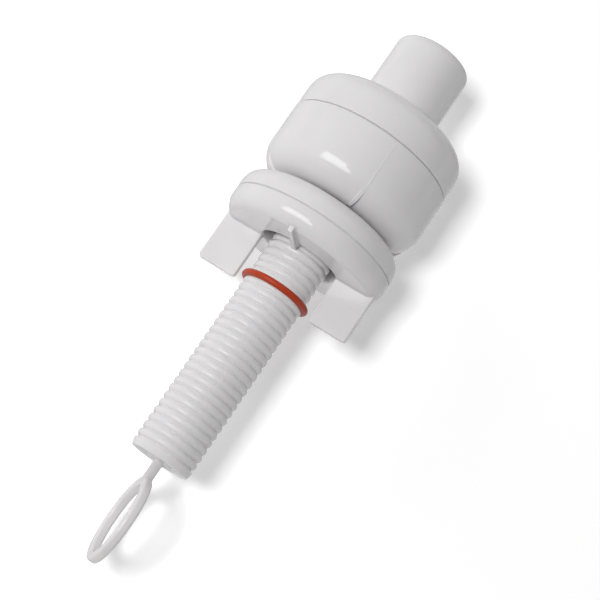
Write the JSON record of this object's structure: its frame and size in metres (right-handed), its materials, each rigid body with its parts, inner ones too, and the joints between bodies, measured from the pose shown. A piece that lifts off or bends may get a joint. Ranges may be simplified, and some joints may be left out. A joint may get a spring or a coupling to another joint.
{
  "type": "float valve",
  "caption": "Through-wall float valve: round two-part housing with a spigot, ribbed shank with O-ring, winged clamp collar and a pull stem with finger ring.",
  "frame": {"origin": "on the valve's axis, at the underside of the housing, which is the face that meets the tank wall", "axes": "+Z along the valve's axis from the pull ring towards the spigot; +X across the finger ring's plane, so the ring lies in YZ"},
  "size_m": [0.0544, 0.0544, 0.1852],
  "materials": {
    "housing_plastic": "glossy moulded white",
    "collar_plastic": "satin-gloss moulded white",
    "stem_plastic": "satin-gloss moulded white",
    "inner_plastic": "matt moulded natural acetal",
    "float_plastic": "matt moulded polypropylene",
    "red_seal": "smooth red silicone",
    "black_seal": "smooth black rubber",
    "steel": "bright stainless steel"
  },
  "bodies": {
    "housing": {"valve_body": "housing_plastic", "upper_cap": "housing_plastic", "seam_seal": "black_seal", "shank_oring": "red_seal", "panel_gasket": "black_seal", "valve_seat": "inner_plastic", "seat_oring": "black_seal", "stem_guide": "inner_plastic", "end_bush": "inner_plastic", "float_guide": "inner_plastic"},
    "collar": {"collar_cover": "collar_plastic", "grip_ring": "inner_plastic", "slip_washer": "inner_plastic"},
    "wings": {"wing_collar": "collar_plastic"},
    "float": {"float_lower": "float_plastic", "float_upper": "float_plastic", "float_sleeve": "float_plastic", "poppet": "inner_plastic", "seal_disc": "black_seal", "seal_washer": "steel", "seal_screw": "steel"},
    "pull": {"pull_stem": "stem_plastic", "stem_clip": "steel", "stop_washer": "inner_plastic"}
  },
  "joints": [
    {"name": "collar_slide", "type": "slide", "parent": "housing", "child": "collar", "axis": [0, 0, -1], "range_m": [-0.0004, 0.0104]},
    {"name": "wing_turn", "type": "hinge", "parent": "collar", "child": "wings", "pos_m": [0, 0, -0.0094], "axis": [0, 0, 1], "continuous": true},
    {"name": "float_lift", "type": "slide", "parent": "housing", "child": "float", "axis": [0, 0, 1], "range_m": [0, 0.005]},
    {"name": "stem_turn", "type": "hinge", "parent": "float", "child": "pull", "pos_m": [0, 0, 0.0196], "axis": [0, 0, 1], "continuous": true}
  ]
}
